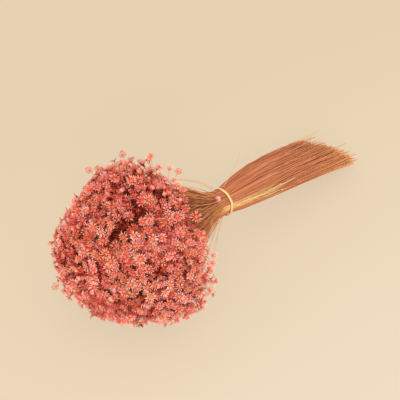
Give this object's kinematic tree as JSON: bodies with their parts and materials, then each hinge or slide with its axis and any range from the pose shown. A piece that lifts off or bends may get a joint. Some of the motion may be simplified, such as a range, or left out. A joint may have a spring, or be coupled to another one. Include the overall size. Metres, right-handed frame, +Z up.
{
  "type": "bunch of dried flowers",
  "caption": "Tied bunch of dyed dried star flowers lying on its side, with a dome of small heads and a fan of wiry stems.",
  "frame": {"origin": "middle of the bunch's box, on the surface that it lies on", "axes": "+Z up, +X along the bunch from the flower heads to the cut ends of the stems, +Y completes the frame"},
  "size_m": [0.437, 0.1968, 0.1736],
  "materials": {
    "flower": "dry papery petals dyed coral pink, matt",
    "stem": "thin dry stems dyed rust brown, matt",
    "pale_stem": "thin dry stems of undyed straw colour, satin",
    "band": "pale yellow rubber band, satin"
  },
  "bodies": {
    "root": {"caught_bud": "flower", "flowers_centre": "flower", "flowers_inner_1": "flower", "flowers_inner_2": "flower", "flowers_inner_3": "flower", "flowers_inner_4": "flower", "flowers_inner_5": "flower", "flowers_inner_6": "flower", "flowers_outer_1": "flower", "flowers_outer_10": "flower", "flowers_outer_11": "flower", "flowers_outer_12": "flower", "flowers_outer_2": "flower", "flowers_outer_3": "flower", "flowers_outer_4": "flower", "flowers_outer_5": "flower", "flowers_outer_6": "flower", "flowers_outer_7": "flower", "flowers_outer_8": "flower", "flowers_outer_9": "flower", "rubber_band": "band", "stems_centre": "stem", "stems_inner_1": "stem", "stems_inner_2": "stem", "stems_inner_3": "stem", "stems_inner_4": "stem", "stems_inner_5": "stem", "stems_inner_6": "stem", "stems_outer_1": "stem", "stems_outer_10": "pale_stem", "stems_outer_11": "stem", "stems_outer_12": "stem", "stems_outer_2": "stem", "stems_outer_3": "stem", "stems_outer_4": "stem", "stems_outer_5": "stem", "stems_outer_6": "stem", "stems_outer_7": "stem", "stems_outer_8": "stem", "stems_outer_9": "stem", "stray_flower_1": "flower", "stray_flower_10": "flower", "stray_flower_2": "flower", "stray_flower_3": "flower", "stray_flower_4": "flower", "stray_flower_5": "flower", "stray_flower_6": "flower", "stray_flower_7": "flower", "stray_flower_8": "flower", "stray_flower_9": "flower"}
  },
  "joints": []
}
